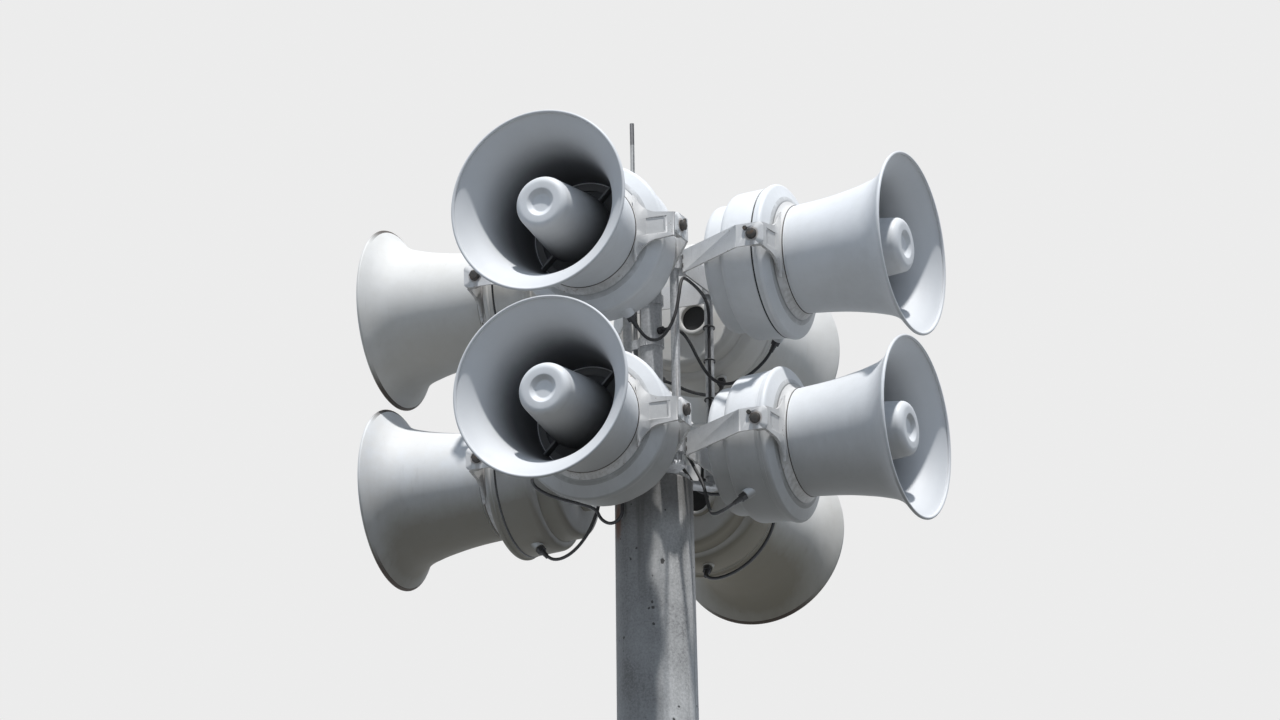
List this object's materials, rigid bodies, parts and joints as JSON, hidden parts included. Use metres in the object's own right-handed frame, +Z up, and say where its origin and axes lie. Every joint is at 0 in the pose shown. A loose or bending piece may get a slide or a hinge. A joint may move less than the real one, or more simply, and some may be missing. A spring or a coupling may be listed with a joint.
{
  "type": "civil defense siren tower",
  "caption": "Electronic warning siren: folded horns in two tiers on tilting yokes round a corner-tube frame on a tapered concrete pole",
  "frame": {"origin": "centre of the pole's flat face at ground level", "axes": "+Z up along the mast, -Y the front pair of horns, +X the right pair, +Y the back pair, -X the left pair"},
  "size_m": [1.5252, 1.5252, 9.4325],
  "materials": {
    "concrete": "weathered spun concrete",
    "galvanised_steel": "dull galvanised",
    "grey_paint": "warm light grey paint, weathered",
    "white_gelcoat": "white gel coat on glass-fibre plastic, dusty",
    "dark_steel": "dark, lightly rusted",
    "antenna_grey": "satin grey",
    "black_rubber": "black sheath"
  },
  "bodies": {
    "mast": {"concrete_pole": "concrete", "foot_cross": "galvanised_steel", "centre_pipe": "galvanised_steel", "top_cross": "galvanised_steel", "corner_uprights": "galvanised_steel", "yoke_clamps": "galvanised_steel", "antenna_rod": "antenna_grey", "antenna_clamps": "galvanised_steel", "cable_glands": "black_rubber", "front_yokes": "grey_paint", "right_yokes": "grey_paint", "back_yokes": "grey_paint", "left_yokes": "grey_paint", "pivot_bolts": "dark_steel", "lock_screws": "dark_steel", "upper_front_cable": "black_rubber", "upper_right_cable": "black_rubber", "upper_back_cable": "black_rubber", "upper_left_cable": "black_rubber", "lower_front_cable": "black_rubber", "lower_right_cable": "black_rubber", "lower_back_cable": "black_rubber", "lower_left_cable": "black_rubber"},
    "upper_front_horn": {"upper_front_housing": "white_gelcoat", "upper_front_bell": "white_gelcoat", "upper_front_reflector": "white_gelcoat", "upper_front_bracket": "grey_paint"},
    "upper_right_horn": {"upper_right_housing": "white_gelcoat", "upper_right_bell": "white_gelcoat", "upper_right_reflector": "white_gelcoat", "upper_right_bracket": "grey_paint"},
    "upper_back_horn": {"upper_back_housing": "white_gelcoat", "upper_back_bell": "white_gelcoat", "upper_back_reflector": "white_gelcoat", "upper_back_bracket": "grey_paint"},
    "upper_left_horn": {"upper_left_housing": "white_gelcoat", "upper_left_bell": "white_gelcoat", "upper_left_reflector": "white_gelcoat", "upper_left_bracket": "grey_paint"},
    "lower_front_horn": {"lower_front_housing": "white_gelcoat", "lower_front_bell": "white_gelcoat", "lower_front_reflector": "white_gelcoat", "lower_front_bracket": "grey_paint"},
    "lower_right_horn": {"lower_right_housing": "white_gelcoat", "lower_right_bell": "white_gelcoat", "lower_right_reflector": "white_gelcoat", "lower_right_bracket": "grey_paint"},
    "lower_back_horn": {"lower_back_housing": "white_gelcoat", "lower_back_bell": "white_gelcoat", "lower_back_reflector": "white_gelcoat", "lower_back_bracket": "grey_paint"},
    "lower_left_horn": {"lower_left_housing": "white_gelcoat", "lower_left_bell": "white_gelcoat", "lower_left_reflector": "white_gelcoat", "lower_left_bracket": "grey_paint"}
  },
  "joints": [
    {"name": "upper_front_tilt", "type": "hinge", "parent": "mast", "child": "upper_front_horn", "pos_m": [0, -0.403, 8.97], "axis": [-1, 0, 0], "range_deg": [0, 15], "deforming": ["upper_front_cable"]},
    {"name": "upper_right_tilt", "type": "hinge", "parent": "mast", "child": "upper_right_horn", "pos_m": [0.403, 0, 8.97], "axis": [0, -1, 0], "range_deg": [0, 15], "deforming": ["upper_right_cable"]},
    {"name": "upper_back_tilt", "type": "hinge", "parent": "mast", "child": "upper_back_horn", "pos_m": [0, 0.403, 8.97], "axis": [1, 0, 0], "range_deg": [0, 15], "deforming": ["upper_back_cable"]},
    {"name": "upper_left_tilt", "type": "hinge", "parent": "mast", "child": "upper_left_horn", "pos_m": [-0.403, 0, 8.97], "axis": [0, 1, 0], "range_deg": [0, 15], "deforming": ["upper_left_cable"]},
    {"name": "lower_front_tilt", "type": "hinge", "parent": "mast", "child": "lower_front_horn", "pos_m": [0, -0.403, 8.455], "axis": [1, 0, 0], "range_deg": [0, 15], "deforming": ["lower_front_cable"]},
    {"name": "lower_right_tilt", "type": "hinge", "parent": "mast", "child": "lower_right_horn", "pos_m": [0.403, 0, 8.455], "axis": [0, 1, 0], "range_deg": [0, 15], "deforming": ["lower_right_cable"]},
    {"name": "lower_back_tilt", "type": "hinge", "parent": "mast", "child": "lower_back_horn", "pos_m": [0, 0.403, 8.455], "axis": [-1, 0, 0], "range_deg": [0, 15], "deforming": ["lower_back_cable"]},
    {"name": "lower_left_tilt", "type": "hinge", "parent": "mast", "child": "lower_left_horn", "pos_m": [-0.403, 0, 8.455], "axis": [0, -1, 0], "range_deg": [0, 15], "deforming": ["lower_left_cable"]}
  ]
}
